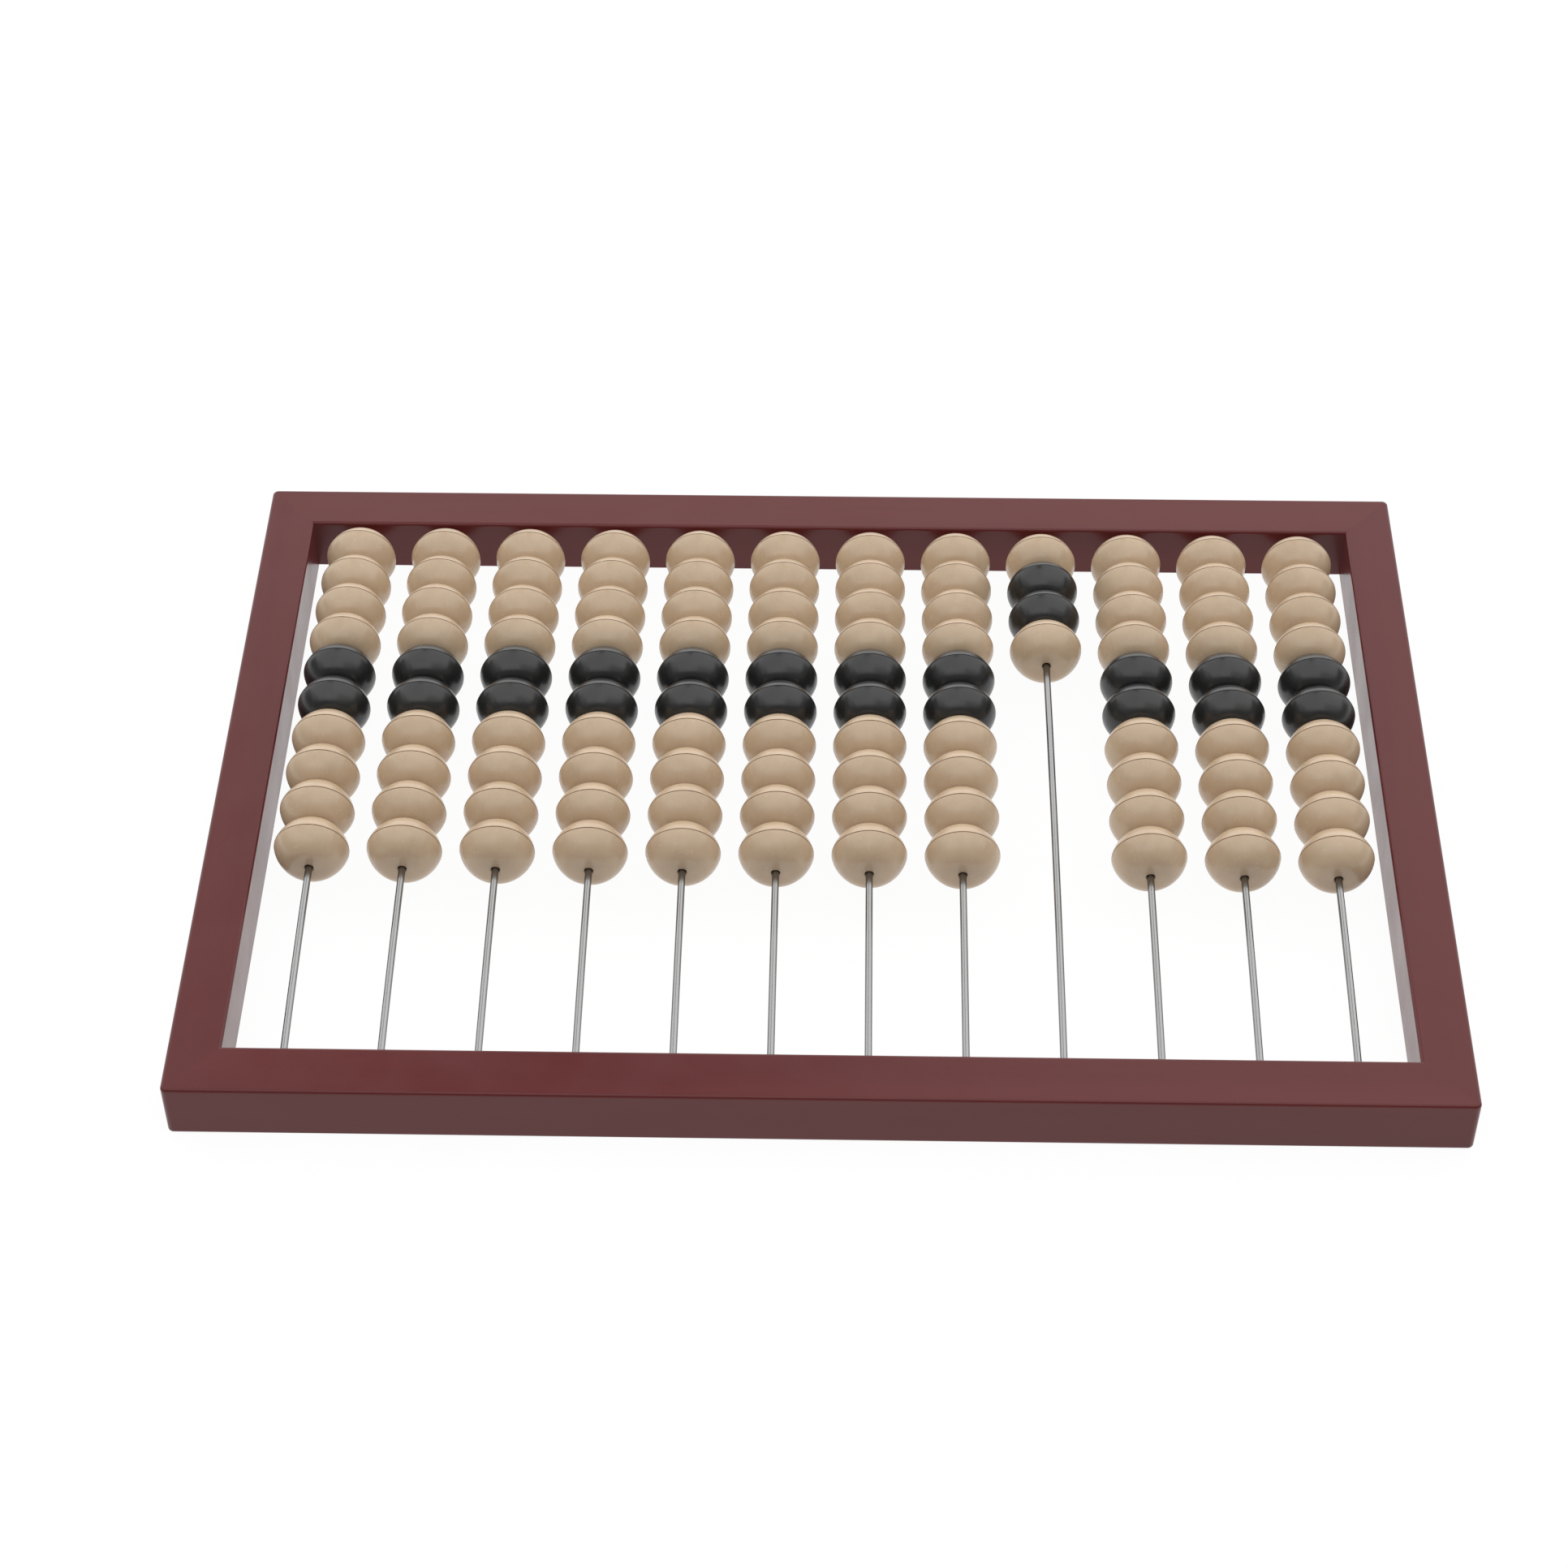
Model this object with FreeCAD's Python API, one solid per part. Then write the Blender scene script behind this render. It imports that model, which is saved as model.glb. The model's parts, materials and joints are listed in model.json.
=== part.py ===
import FreeCAD, Part
import math
import os

# Abacus: twelve arched wires in a low frame, with beads that slide along the wires.
# Millimetres. X runs along the long side, Y away from the person counting, Z up.
# The origin is the middle of the footprint, on the table.

os.makedirs("parts", exist_ok=True)

# Frame
FRAME_LENGTH = 300.3
FRAME_DEPTH = 209.4
FRAME_HEIGHT = 15.3
LONG_RAIL_WIDTH = 13.4          # front and back rails
SHORT_RAIL_WIDTH = 12.5         # left and right rails
EDGE_ROUNDING = 0.8             # every long edge, inside and outside
CORNER_ROUNDING = 1.5           # the four upright outer corners

# Tenons that hold the mitred corners together
TENON_WIDTH = 5.0
TENON_HEIGHT = 5.1
TENON_FROM_OUTSIDE = 5.8        # from the frame's end face to the tenon's side
TENON_COVER = 3.0               # wood left between a tenon's tip and the long face
TENON_ROOT = 14.0               # how far back the tenon starts, measured from the long face

# Wires
WIRE_COUNT = 12
WIRE_SPACING = 22.56
WIRE_DIAMETER = 1.7
WIRE_ARC_RADIUS = 725.0         # each wire is bowed upward to this radius
WIRE_TOP_HEIGHT = 16.3          # centre line above the table, at mid-span
WIRE_HOLE_DEPTH = 7.0           # blind holes in the front and back rails
WIRE_HOLE_CLEARANCE = 0.04      # on the diameter

# Beads
BEAD_RIM_RADIUS = 9.2
BEAD_HALF_THICKNESS = 6.1
BEAD_PITCH = 12.27              # along the arc
BEAD_BORE_DIAMETER = 2.05
BEAD_DOME_RADIUS = 9.4          # centred on the bore line, beyond the middle plane
BEAD_SHOULDER_ANGLE = 45.0      # where the dome meets the tighter shoulder arc
BEAD_GAP_AT_BACK = 4.05         # from the back rail to the first bead

# Beads on each wire, counted from the back rail: far group, dark group, near group
FULL_STACK = (4, 2, 4)
SHORT_STACK = (1, 2, 1)
SHORT_STACK_WIRE = 9            # wires are numbered from the left

HALF_LENGTH = FRAME_LENGTH / 2
HALF_DEPTH = FRAME_DEPTH / 2
OPENING_HALF_LENGTH = HALF_LENGTH - SHORT_RAIL_WIDTH
OPENING_HALF_DEPTH = HALF_DEPTH - LONG_RAIL_WIDTH
ARC_CENTRE = FreeCAD.Vector(0, 0, WIRE_TOP_HEIGHT - WIRE_ARC_RADIUS)
ALONG_X = FreeCAD.Vector(1, 0, 0)
ALONG_Y = FreeCAD.Vector(0, 1, 0)


def save(node, shape):
    shape.exportStep("parts/" + node + ".step")


def angle_at(y):
    """Angle on the wire's arc, in degrees, at a distance y from the middle."""
    return math.degrees(math.asin(y / WIRE_ARC_RADIUS))


def wire_x(number):
    """Position of a wire along the frame. Wire 1 is the leftmost."""
    return (number - (WIRE_COUNT + 1) / 2) * WIRE_SPACING


# ---- frame ----

def is_upright(edge):
    ends = edge.Vertexes
    return abs(ends[0].Z - ends[1].Z) > FRAME_HEIGHT / 2


def is_level(edge):
    ends = edge.Vertexes
    return len(ends) == 2 and abs(ends[0].Z - ends[1].Z) < 0.001


def frame_blank():
    """The whole frame in one solid, with every edge already rounded."""
    outside = Part.makeBox(FRAME_LENGTH, FRAME_DEPTH, FRAME_HEIGHT,
                           FreeCAD.Vector(-HALF_LENGTH, -HALF_DEPTH, 0))
    outside = outside.makeFillet(CORNER_ROUNDING, [e for e in outside.Edges if is_upright(e)])
    opening = Part.makeBox(2 * OPENING_HALF_LENGTH, 2 * OPENING_HALF_DEPTH, 3 * FRAME_HEIGHT,
                           FreeCAD.Vector(-OPENING_HALF_LENGTH, -OPENING_HALF_DEPTH, -FRAME_HEIGHT))
    frame = outside.cut(opening)
    return frame.makeFillet(EDGE_ROUNDING, [e for e in frame.Edges if is_level(e)])


def mitre_wedge(outer_start, outer_end, inner_end, inner_start):
    """A full-height block over one rail, bounded by the two mitre planes."""
    corners = [outer_start, outer_end, inner_end, inner_start, outer_start]
    points = [FreeCAD.Vector(x, y, -1) for x, y in corners]
    outline = Part.Face(Part.makePolygon(points))
    return outline.extrude(FreeCAD.Vector(0, 0, FRAME_HEIGHT + 2))


def front_rail(blank):
    wedge = mitre_wedge((-HALF_LENGTH, -HALF_DEPTH), (HALF_LENGTH, -HALF_DEPTH),
                        (OPENING_HALF_LENGTH, -OPENING_HALF_DEPTH),
                        (-OPENING_HALF_LENGTH, -OPENING_HALF_DEPTH))
    rail = blank.common(wedge)
    for end in (-1, 1):
        rail = rail.cut(tenon(end, -1))
    for number in range(1, WIRE_COUNT + 1):
        rail = rail.cut(bowed_rod(number, WIRE_DIAMETER + WIRE_HOLE_CLEARANCE))
    return rail


def left_rail(blank):
    wedge = mitre_wedge((-HALF_LENGTH, -HALF_DEPTH), (-HALF_LENGTH, HALF_DEPTH),
                        (-OPENING_HALF_LENGTH, OPENING_HALF_DEPTH),
                        (-OPENING_HALF_LENGTH, -OPENING_HALF_DEPTH))
    rail = blank.common(wedge)
    for side in (-1, 1):
        rail = rail.fuse(tenon(-1, side))
    return rail


def turned_round(rail):
    """The same rail for the opposite side of the frame, which is the same from either side."""
    opposite = rail.copy()
    opposite.rotate(FreeCAD.Vector(0, 0, 0), FreeCAD.Vector(0, 0, 1), 180)
    return opposite


def tenon(end, side):
    """The tongue on a short rail that goes into a long rail. End -1 is left, side -1 is front."""
    outer_x = end * (HALF_LENGTH - TENON_FROM_OUTSIDE)
    inner_x = outer_x - end * TENON_WIDTH
    tip_y = side * (HALF_DEPTH - TENON_COVER)
    root_y = side * (HALF_DEPTH - TENON_ROOT)
    low = FreeCAD.Vector(min(outer_x, inner_x), min(tip_y, root_y), (FRAME_HEIGHT - TENON_HEIGHT) / 2)
    return Part.makeBox(TENON_WIDTH, abs(tip_y - root_y), TENON_HEIGHT, low)


# ---- wires ----

def bowed_rod(number, diameter):
    """A round rod along one wire's arc, from the bottom of one blind hole to the other."""
    reach = angle_at(OPENING_HALF_DEPTH + WIRE_HOLE_DEPTH)
    middle = FreeCAD.Vector(wire_x(number), 0, WIRE_TOP_HEIGHT)
    disc = Part.Face(Part.Wire(Part.makeCircle(diameter / 2, middle, ALONG_Y)))
    disc.rotate(ARC_CENTRE, ALONG_X, -reach)
    return disc.revolve(ARC_CENTRE, ALONG_X, 2 * reach)


# ---- beads ----

def bead_profile_side(direction):
    """Half of the bead's outline, from the bore to the rim, on one side of the middle plane.

    Points are (along the bore, away from the bore). A flat face around the bore runs into
    a shoulder arc, then into the dome, which ends in a faint crease at the rim.
    """
    shoulder = math.radians(BEAD_SHOULDER_ANGLE)
    dome_centre = -math.sqrt(BEAD_DOME_RADIUS ** 2 - BEAD_RIM_RADIUS ** 2)
    meet_along = dome_centre + BEAD_DOME_RADIUS * math.sin(shoulder)
    meet_out = BEAD_DOME_RADIUS * math.cos(shoulder)
    shoulder_radius = (BEAD_HALF_THICKNESS - meet_along) / (1 - math.sin(shoulder))
    face_radius = meet_out - shoulder_radius * math.cos(shoulder)

    def point(along, out):
        return FreeCAD.Vector(0, direction * along, out)

    def on_dome(angle):
        return point(dome_centre + BEAD_DOME_RADIUS * math.sin(angle), BEAD_DOME_RADIUS * math.cos(angle))

    def on_shoulder(angle):
        along = BEAD_HALF_THICKNESS - shoulder_radius + shoulder_radius * math.sin(angle)
        return point(along, face_radius + shoulder_radius * math.cos(angle))

    rim_angle = math.acos(BEAD_RIM_RADIUS / BEAD_DOME_RADIUS)
    bore = point(BEAD_HALF_THICKNESS, BEAD_BORE_DIAMETER / 2)
    face_edge = point(BEAD_HALF_THICKNESS, face_radius)
    return [
        Part.makeLine(bore, face_edge),
        Part.Arc(face_edge, on_shoulder((shoulder + math.pi / 2) / 2), on_shoulder(shoulder)).toShape(),
        Part.Arc(on_dome(shoulder), on_dome((shoulder + rim_angle) / 2), on_dome(rim_angle)).toShape(),
    ]


def single_bead():
    """One bead with its bore along Y through the origin."""
    bore_out = BEAD_BORE_DIAMETER / 2
    bore = Part.makeLine(FreeCAD.Vector(0, -BEAD_HALF_THICKNESS, bore_out),
                         FreeCAD.Vector(0, BEAD_HALF_THICKNESS, bore_out))
    edges = [bore] + bead_profile_side(1) + bead_profile_side(-1)
    outline = Part.Wire(Part.__sortEdges__(edges))
    return Part.Face(outline).revolve(FreeCAD.Vector(0, 0, 0), ALONG_Y, 360)


def placed_bead(bead, number, place):
    """A bead on a wire. Place 0 is nearest the back rail."""
    first = angle_at(OPENING_HALF_DEPTH - BEAD_GAP_AT_BACK - BEAD_HALF_THICKNESS)
    step = math.degrees(BEAD_PITCH / WIRE_ARC_RADIUS)
    on_wire = bead.copy()
    on_wire.translate(FreeCAD.Vector(wire_x(number), 0, WIRE_TOP_HEIGHT))
    on_wire.rotate(ARC_CENTRE, ALONG_X, -(first - place * step))
    return on_wire


def save_beads(number):
    far_count, dark_count, near_count = SHORT_STACK if number == SHORT_STACK_WIRE else FULL_STACK
    bead = single_bead()
    beads = [placed_bead(bead, number, place) for place in range(far_count + dark_count + near_count)]
    groups = {
        "far_beads": beads[:far_count],
        "dark_beads": beads[far_count:far_count + dark_count],
        "near_beads": beads[far_count + dark_count:],
    }
    for name, group in groups.items():
        save("%s_%02d" % (name, number), Part.makeCompound(group))


blank = frame_blank()
front = front_rail(blank)
left = left_rail(blank)
save("front_rail", front)
save("back_rail", turned_round(front))
save("left_rail", left)
save("right_rail", turned_round(left))

for number in range(1, WIRE_COUNT + 1):
    save("wire_%02d" % number, bowed_rod(number, WIRE_DIAMETER))
    save_beads(number)
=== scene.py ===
import json
import math
import random

import bmesh
import bpy
from mathutils import Matrix, Vector


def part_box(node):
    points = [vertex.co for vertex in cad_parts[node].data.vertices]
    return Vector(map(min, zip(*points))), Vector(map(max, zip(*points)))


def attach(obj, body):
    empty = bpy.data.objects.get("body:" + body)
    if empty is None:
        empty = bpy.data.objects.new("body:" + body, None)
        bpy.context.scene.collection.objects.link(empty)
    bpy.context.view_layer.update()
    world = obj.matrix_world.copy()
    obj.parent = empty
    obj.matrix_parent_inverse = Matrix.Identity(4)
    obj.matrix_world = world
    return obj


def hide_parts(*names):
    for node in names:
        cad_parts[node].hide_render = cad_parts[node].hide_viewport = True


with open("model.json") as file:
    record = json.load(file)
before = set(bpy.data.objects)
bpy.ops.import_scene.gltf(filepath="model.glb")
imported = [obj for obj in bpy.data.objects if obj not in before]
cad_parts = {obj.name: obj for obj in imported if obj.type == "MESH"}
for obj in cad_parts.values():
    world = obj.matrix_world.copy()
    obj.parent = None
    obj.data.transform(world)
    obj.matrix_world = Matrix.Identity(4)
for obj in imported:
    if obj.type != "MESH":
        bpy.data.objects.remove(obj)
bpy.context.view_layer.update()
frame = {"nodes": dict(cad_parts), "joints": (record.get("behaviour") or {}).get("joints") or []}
random.seed(12)

# Sizes in metres, the same as the CAD model's.
WIRE_COUNT = 12
SHORT_STACK_WIRE = 9
WIRE_RADIUS = 0.00085
WIRE_ARC_RADIUS = 0.725
OPENING_HALF_DEPTH = 0.0913
WIRE_HOLE_DEPTH = 0.007
BEAD_RIM_RADIUS = 0.0092
BEAD_HALF_THICKNESS = 0.0061
BEAD_BORE_RADIUS = 0.001025
BEAD_DOME_RADIUS = 0.0094
BEAD_PITCH = 0.01227
BEAD_GAP_AT_BACK = 0.00405
SHOULDER_ANGLE = math.radians(45)

# The fine groove round a bead's rim is only in this model.
GROOVE_HALF_WIDTH = 0.00014
GROOVE_DEPTH = 0.00035

# Beads on each wire, counted from the back rail: far group, dark group, near group.
FULL_STACK = (4, 2, 4)
SHORT_STACK = (1, 2, 1)

# The hinge of any stack lies on the axis that all the wires' arcs share.
ARC_CENTRE_Z = frame["joints"][0]["pos_m"][2]

# The studio's ceiling is far enough away to light every bead alike.
CEILING = 6.0

# Most of a noise's values lie between these two.
NOISE_LOW = 0.3
NOISE_HIGH = 0.7


def link(obj):
    bpy.context.scene.collection.objects.link(obj)
    return obj


def wire_x(number):
    low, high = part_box("wire_%02d" % number)
    return (low[0] + high[0]) / 2


# ---- materials ----

def grey(level):
    return (level, level, level)


class Nodes:
    """A material's node tree, with a Principled shader ready to be fed."""

    def __init__(self, name):
        self.material = bpy.data.materials.new(name)
        self.material.use_nodes = True
        self.tree = self.material.node_tree
        self.shader = self.tree.nodes["Principled BSDF"]

    def add(self, kind, **settings):
        """A new node. Each setting is one of its own properties, or else a socket's value."""
        node = self.tree.nodes.new(kind)
        for key, value in settings.items():
            if hasattr(node, key):
                setattr(node, key, value)
            else:
                node.inputs[key.replace("_", " ")].default_value = value
        return node

    def join(self, source, output, target, entry):
        self.tree.links.new(source.outputs[output], target.inputs[entry])

    def set(self, **values):
        for key, value in values.items():
            self.shader.inputs[key.replace("_", " ")].default_value = value

    def noise(self, scale, stretch=(1, 1, 1), detail=3.0, roughness=0.5):
        """Noise in the object's coordinates. A stretch below 1 draws it out along that axis."""
        place = self.add("ShaderNodeTexCoord")
        mapping = self.add("ShaderNodeMapping", Scale=stretch)
        noise = self.add("ShaderNodeTexNoise", Scale=scale, Detail=detail, Roughness=roughness)
        self.join(place, "Object", mapping, "Vector")
        self.join(mapping, "Vector", noise, "Vector")
        return noise

    def tones(self, source, *stops, output="Fac"):
        """Base colours picked by a value. Each stop is (value, (r, g, b))."""
        ramp = self.add("ShaderNodeValToRGB")
        points = ramp.color_ramp.elements
        while len(points) < len(stops):
            points.new(0.5)
        for point, (value, colour) in zip(points, stops):
            point.position = value
            point.color = (*colour, 1.0)
        self.join(source, output, ramp, "Fac")
        self.join(ramp, "Color", self.shader, "Base Color")

    def gloss(self, noise, low, high):
        """Roughness that a noise varies from low to high."""
        spread = self.add("ShaderNodeMapRange",
                          From_Min=NOISE_LOW, From_Max=NOISE_HIGH, To_Min=low, To_Max=high)
        self.join(noise, "Fac", spread, "Value")
        self.join(spread, "Result", self.shader, "Roughness")

    def bumps(self, *layers):
        """Each layer is (noise, height in metres)."""
        previous = None
        for noise, height in layers:
            bump = self.add("ShaderNodeBump", Strength=1.0, Distance=height)
            self.join(noise, "Fac", bump, "Height")
            if previous:
                self.join(previous, "Normal", bump, "Normal")
            previous = bump
        self.join(previous, "Normal", self.shader, "Normal")


def lacquer(name, along_grain):
    """Deep red-brown lacquer over planed wood, with the grain only just showing through."""
    nodes = Nodes(name)
    grain = nodes.noise(scale=90.0, stretch=along_grain, detail=5.0, roughness=0.6)
    nodes.tones(grain,
                (0.30, (0.094, 0.0106, 0.0110)),
                (0.55, (0.105, 0.0128, 0.0128)),
                (0.80, (0.114, 0.0149, 0.0145)))
    nodes.gloss(nodes.noise(scale=60.0), 0.20, 0.28)
    flow = nodes.noise(scale=45.0, detail=1.0)
    peel = nodes.noise(scale=420.0, detail=1.0)
    nodes.bumps((flow, 0.00022), (peel, 0.000012))
    nodes.set(IOR=1.4)
    return nodes.material


def bead_lacquer(name, dark, middle, light):
    """Satin lacquer on a turned wooden bead, with faint grain along one side."""
    nodes = Nodes(name)
    grain = nodes.noise(scale=420.0, stretch=(1.0, 1.0, 0.18), detail=4.0, roughness=0.55)
    blotch = nodes.noise(scale=110.0, detail=2.0)
    mix = nodes.add("ShaderNodeMix", data_type="FLOAT", Factor=0.65)
    nodes.join(grain, "Fac", mix, "A")
    nodes.join(blotch, "Fac", mix, "B")
    nodes.tones(mix, (0.35, dark), (0.52, middle), (0.68, light), output="Result")
    nodes.gloss(nodes.noise(scale=300.0), 0.21, 0.29)
    ripple = nodes.noise(scale=140.0, detail=1.5)
    peel = nodes.noise(scale=1500.0, detail=1.0)
    nodes.bumps((ripple, 0.00013), (peel, 0.000003))
    nodes.set(IOR=1.54)
    return nodes.material


def groove_painted_shade(name, dark, light):
    """Painted shade for the groove round a bead's rim: darker colours that stand in for the shade
    that falls in it, on a duller lacquer.
    """
    nodes = Nodes(name)
    shade_tone = nodes.noise(scale=700.0, detail=1.0)
    nodes.tones(shade_tone, (0.35, dark), (0.65, light))
    nodes.gloss(shade_tone, 0.45, 0.55)
    return nodes.material


def drawn_steel(name):
    """Bright drawn wire, with fine die marks along its length."""
    nodes = Nodes(name)
    marks = nodes.noise(scale=1500.0, stretch=(1.0, 0.002, 0.0), detail=1.0)
    nodes.tones(marks, (0.30, grey(0.31)), (0.70, grey(0.34)))
    nodes.gloss(marks, 0.18, 0.21)
    nodes.set(Metallic=1.0, Specular_Tint=(*grey(0.25), 1.0))
    return nodes.material


LACQUER_ALONG_X = lacquer("lacquer_long_rails", (0.06, 1.0, 1.0))
LACQUER_ALONG_Y = lacquer("lacquer_short_rails", (1.0, 0.06, 1.0))
BEIGE = bead_lacquer("beige_bead_lacquer",
                     (0.485, 0.356, 0.234), (0.520, 0.386, 0.257), (0.550, 0.411, 0.276))
BLACK = bead_lacquer("black_bead_lacquer", grey(0.013), grey(0.017), grey(0.022))
# These two paint shade into the fine groove round a bead's rim.
BEIGE_GROOVE_SHADE = groove_painted_shade("beige_bead_groove_painted_shade", (0.24, 0.140, 0.085), (0.32, 0.200, 0.125))
BLACK_GROOVE_SHADE = groove_painted_shade("black_bead_groove_painted_shade", grey(0.004), grey(0.008))
STEEL = drawn_steel("drawn_steel_wire")


# ---- rails: the CAD shapes, with the lacquer ----

def paint(node, material):
    mesh = frame["nodes"][node].data
    for index in range(len(mesh.materials)):
        mesh.materials[index] = material


paint("front_rail", LACQUER_ALONG_X)
paint("back_rail", LACQUER_ALONG_X)
paint("left_rail", LACQUER_ALONG_Y)
paint("right_rail", LACQUER_ALONG_Y)


# ---- wires ----

def wire_mesh():
    """One bowed wire at x = 0, swept round the arc's centre, with slightly rounded ends."""
    sides = 32
    steps = 120
    reach = math.asin((OPENING_HALF_DEPTH + WIRE_HOLE_DEPTH) / WIRE_ARC_RADIUS)
    end_rounding = 0.00025
    bm = bmesh.new()
    rings = []
    for step in range(steps + 1):
        angle = reach * (2 * step / steps - 1)
        at_end = step in (0, steps)
        radius = WIRE_RADIUS - end_rounding if at_end else WIRE_RADIUS
        if step in (1, steps - 1):
            angle = math.copysign(reach - end_rounding / WIRE_ARC_RADIUS, angle)
        ring = []
        for side in range(sides):
            turn = 2 * math.pi * side / sides
            out = WIRE_ARC_RADIUS + radius * math.cos(turn)
            point = (radius * math.sin(turn), out * math.sin(angle), out * math.cos(angle))
            ring.append(bm.verts.new(point))
        rings.append(ring)
    for first, second in zip(rings, rings[1:]):
        for side in range(sides):
            following = (side + 1) % sides
            bm.faces.new((first[side], second[side], second[following], first[following]))
    bm.faces.new(rings[0])
    bm.faces.new(list(reversed(rings[-1])))
    bmesh.ops.recalc_face_normals(bm, faces=bm.faces)
    mesh = bpy.data.meshes.new("bowed_wire")
    bm.to_mesh(mesh)
    bm.free()
    mesh.shade_smooth()
    mesh.materials.append(STEEL)
    return mesh


def make_wires():
    mesh = wire_mesh()
    for number in range(1, WIRE_COUNT + 1):
        wire = link(bpy.data.objects.new("bowed_wire_%02d" % number, mesh))
        wire.location = (wire_x(number), 0, ARC_CENTRE_Z)
        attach(wire, "frame")
        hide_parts("wire_%02d" % number)


# ---- beads ----

def arc_points(centre_along, centre_out, radius, start, end, count):
    points = []
    for index in range(count):
        angle = start + (end - start) * index / (count - 1)
        along = centre_along + radius * math.sin(angle)
        out = centre_out + radius * math.cos(angle)
        points.append((along, out))
    return points


def half_profile():
    """Points (along the bore, away from it) from the middle plane to the mouth of the bore."""
    dome_centre = -math.sqrt(BEAD_DOME_RADIUS ** 2 - BEAD_RIM_RADIUS ** 2)
    rim_angle = math.acos(BEAD_RIM_RADIUS / BEAD_DOME_RADIUS)
    meet_along = dome_centre + BEAD_DOME_RADIUS * math.sin(SHOULDER_ANGLE)
    meet_out = BEAD_DOME_RADIUS * math.cos(SHOULDER_ANGLE)
    shoulder = (BEAD_HALF_THICKNESS - meet_along) / (1 - math.sin(SHOULDER_ANGLE))
    face_radius = meet_out - shoulder * math.cos(SHOULDER_ANGLE)
    chamfer = 0.00022
    lip = 0.00004
    # The points in this narrow band of the dome, in radians, keep the groove's edge crisp.
    crisp_band = 0.01
    crisp_points = 3
    dome_points = 17
    shoulder_points = 14

    rim = [
        (0.0, BEAD_RIM_RADIUS - GROOVE_DEPTH),
        (0.5 * GROOVE_HALF_WIDTH, BEAD_RIM_RADIUS - 0.7 * GROOVE_DEPTH),
        (GROOVE_HALF_WIDTH, BEAD_RIM_RADIUS - lip),
    ]
    dome_start = rim_angle + (GROOVE_HALF_WIDTH + lip) / BEAD_DOME_RADIUS
    crisp_end = dome_start + crisp_band
    edge = arc_points(dome_centre, 0.0, BEAD_DOME_RADIUS, dome_start, crisp_end, crisp_points)
    dome = arc_points(dome_centre, 0.0, BEAD_DOME_RADIUS, crisp_end, SHOULDER_ANGLE, dome_points)
    turn = arc_points(BEAD_HALF_THICKNESS - shoulder, face_radius, shoulder,
                      SHOULDER_ANGLE, math.pi / 2, shoulder_points)
    mouth = [
        (BEAD_HALF_THICKNESS, BEAD_BORE_RADIUS + 2 * chamfer),
        (BEAD_HALF_THICKNESS - 0.3 * chamfer, BEAD_BORE_RADIUS + chamfer),
        (BEAD_HALF_THICKNESS - chamfer, BEAD_BORE_RADIUS + 0.3 * chamfer),
        (BEAD_HALF_THICKNESS - 2 * chamfer, BEAD_BORE_RADIUS),
    ]
    return rim + edge[:-1] + dome + turn[1:] + mouth


def bead_mesh(name, body_material, groove_shade_material, place):
    """A turned bead: two domes that meet in a fine groove at the rim, whose faces take a material of
    painted shade.

    It is made with its bore along Y and then put in its place, vertices and all, so the
    wood's pattern, which follows the vertices, differs from bead to bead.
    """
    half = half_profile()
    profile = [(-along, out) for along, out in reversed(half)] + half[1:]
    around = 72
    bm = bmesh.new()
    rings = []
    for along, out in profile:
        ring = []
        for index in range(around):
            turn = 2 * math.pi * index / around
            ring.append(bm.verts.new((out * math.sin(turn), along, out * math.cos(turn))))
        rings.append(ring)
    for first, second in zip(rings, rings[1:] + rings[:1]):
        # The wall of the bore spans the middle plane as well, but far in from the rim.
        middle = (first[0].co.y + second[0].co.y) / 2
        at_rim = first[0].co.z > BEAD_RIM_RADIUS - 2 * GROOVE_DEPTH
        in_groove = abs(middle) < GROOVE_HALF_WIDTH and at_rim
        for index in range(around):
            following = (index + 1) % around
            face = bm.faces.new((first[index], first[following], second[following], second[index]))
            # The groove's faces take the second material, which paints shade into the groove.
            face.material_index = 1 if in_groove else 0
    bmesh.ops.recalc_face_normals(bm, faces=bm.faces)
    bm.transform(place)
    mesh = bpy.data.meshes.new(name)
    bm.to_mesh(mesh)
    bm.free()
    mesh.shade_smooth()
    mesh.materials.append(body_material)
    mesh.materials.append(groove_shade_material)
    return mesh


def make_beads():
    first_bead = OPENING_HALF_DEPTH - BEAD_GAP_AT_BACK - BEAD_HALF_THICKNESS
    first = math.asin(first_bead / WIRE_ARC_RADIUS)
    step = BEAD_PITCH / WIRE_ARC_RADIUS
    for number in range(1, WIRE_COUNT + 1):
        far, dark, near = SHORT_STACK if number == SHORT_STACK_WIRE else FULL_STACK
        groups = ["far"] * far + ["dark"] * dark + ["near"] * near
        for index, group in enumerate(groups):
            place = (Matrix.Translation((wire_x(number), 0, ARC_CENTRE_Z))
                     @ Matrix.Rotation(index * step - first, 4, "X")
                     @ Matrix.Translation((0, 0, WIRE_ARC_RADIUS))
                     @ Matrix.Rotation(random.uniform(0, 2 * math.pi), 4, "Y"))
            name = "bead_%02d_%02d" % (number, index + 1)
            is_dark = group == "dark"
            # Each bead's second material paints shade into its rim's groove.
            materials = (BLACK, BLACK_GROOVE_SHADE) if is_dark else (BEIGE, BEIGE_GROOVE_SHADE)
            body = "near_stack_%02d" if group == "near" else "far_stack_%02d"
            bead = link(bpy.data.objects.new(name, bead_mesh(name, *materials, place)))
            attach(bead, body % number)
            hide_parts("%s_beads_%02d" % (group, number))


make_wires()
make_beads()


# ---- floor, light and camera ----

def make_floor():
    half = 6.0
    corners = [(-half, -half, 0), (half, -half, 0), (half, half, 0), (-half, half, 0)]
    mesh = bpy.data.meshes.new("floor")
    mesh.from_pydata(corners, [], [(0, 1, 2, 3)])
    floor = link(bpy.data.objects.new("floor", mesh))
    nodes = Nodes("pale_floor")
    nodes.set(Base_Color=(*grey(0.05), 1.0), Roughness=0.9, Specular_IOR_Level=0.1)
    nodes.set(Emission_Color=(*grey(1.0), 1.0), Emission_Strength=0.95)
    mesh.materials.append(nodes.material)


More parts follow.
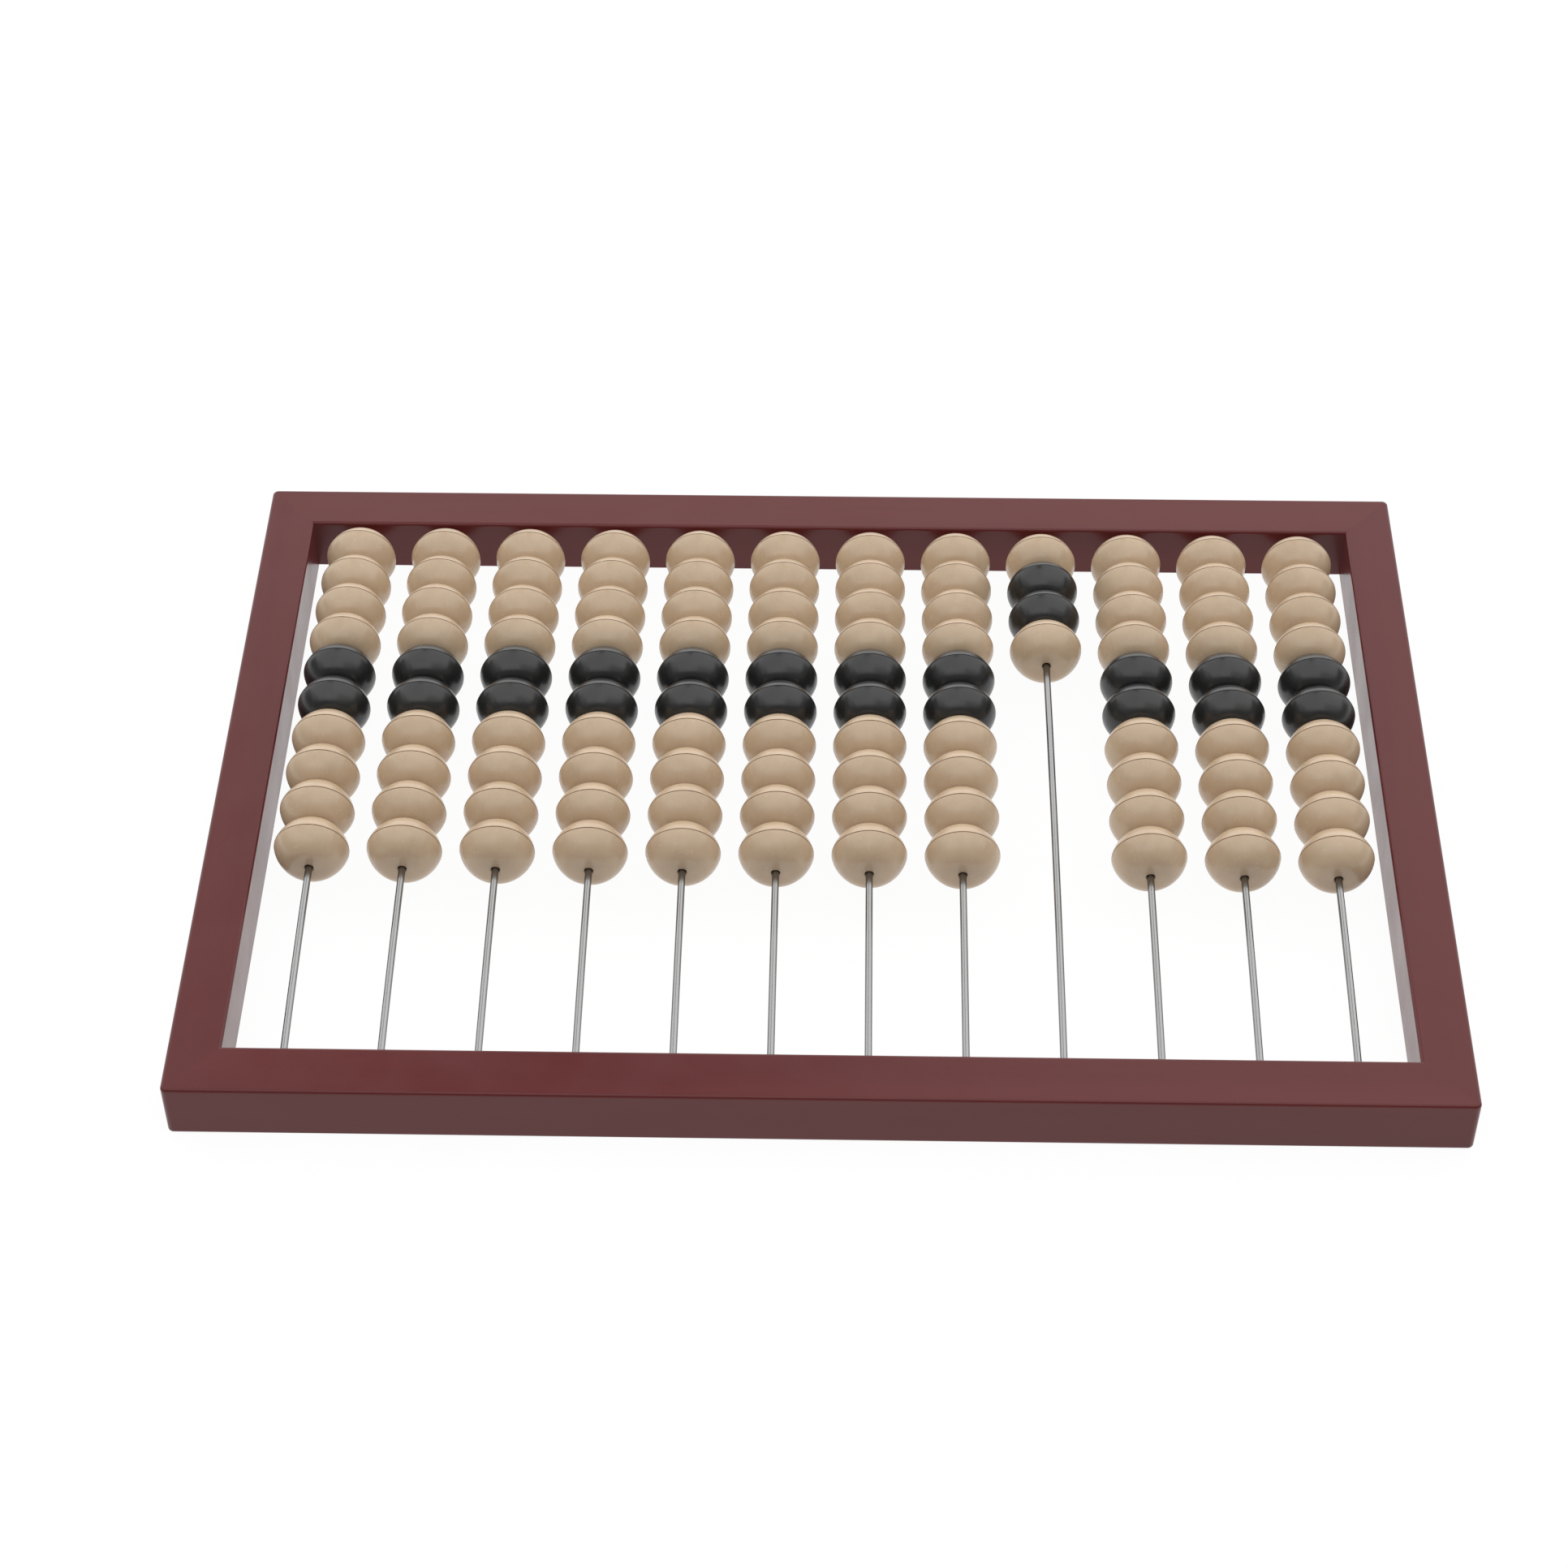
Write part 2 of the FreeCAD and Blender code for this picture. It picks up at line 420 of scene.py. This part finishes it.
def panel_light(name, low, high, target, radiance):
    """A soft flat light between two opposite corners, given by how bright its face is."""
    centre = (Vector(low) + Vector(high)) / 2
    sides = [abs(side) for side in Vector(high) - Vector(low)]
    width = sides[0]
    height = max(sides[1], sides[2])
    data = bpy.data.lights.new(name, "AREA")
    data.shape = "RECTANGLE"
    data.size = width
    data.size_y = height
    data.energy = radiance * math.pi * width * height
    light = link(bpy.data.objects.new(name, data))
    light.location = centre
    light.rotation_euler = (Vector(target) - centre).to_track_quat("-Z", "Y").to_euler()


def ceiling_light(name, x_range, y_range, radiance):
    """A panel in the ceiling, facing straight down."""
    low = (x_range[0], y_range[0], CEILING)
    high = (x_range[1], y_range[1], CEILING)
    below = ((x_range[0] + x_range[1]) / 2, (y_range[0] + y_range[1]) / 2, 0)
    panel_light(name, low, high, below, radiance)


def make_lights():
    """A white studio, far larger than the object: a ceiling of panels with a gap, and a back wall."""
    world = bpy.data.worlds.new("studio")
    world.use_nodes = True
    background = world.node_tree.nodes["Background"]
    background.inputs["Color"].default_value = (*grey(1.0), 1.0)
    background.inputs["Strength"].default_value = 0.25
    bpy.context.scene.world = world

    bright = 1.30
    soft = 1.15
    dim = 0.70

    # Where the panels begin and end across the studio, from left to right.
    far_left = -14.5
    left = -9.0
    front_left = -7.5
    gap_left = -1.45
    gap_right = -0.1
    front_split = 1.8
    right = 14.5

    # And from front to back.
    front = -4.7
    middle = -2.1
    far_left_split = 1.2
    gap_front = 2.1
    back = 5.6

    ceiling_light("ceiling_right", (gap_right, right), (middle, back), bright)
    ceiling_light("ceiling_left", (left, gap_left), (middle, back), soft)
    ceiling_light("ceiling_gap_front", (gap_left, gap_right), (middle, gap_front), soft)
    ceiling_light("ceiling_front_left", (front_left, front_split), (front, middle), bright)
    ceiling_light("ceiling_front_right", (front_split, right), (front, middle), dim)
    ceiling_light("ceiling_far_left_back", (far_left, left), (far_left_split, back), bright)
    ceiling_light("ceiling_far_left_front", (far_left, left), (front, far_left_split), dim)
    wall_low = (far_left, back, 0)
    wall_high = (right, back, CEILING)
    panel_light("back_wall", wall_low, wall_high, (0, 0, CEILING / 2), bright)


def make_camera():
    data = bpy.data.cameras.new("camera")
    data.sensor_width = 36.0
    data.lens = 78.45
    camera = link(bpy.data.objects.new("camera", data))
    camera.location = (0.00498, -0.59694, 0.61773)
    camera.rotation_euler = (0.77699, 0.00484, 0.02014)
    bpy.context.scene.camera = camera


make_floor()
make_lights()
make_camera()
bpy.context.scene.view_settings.view_transform = "Standard"
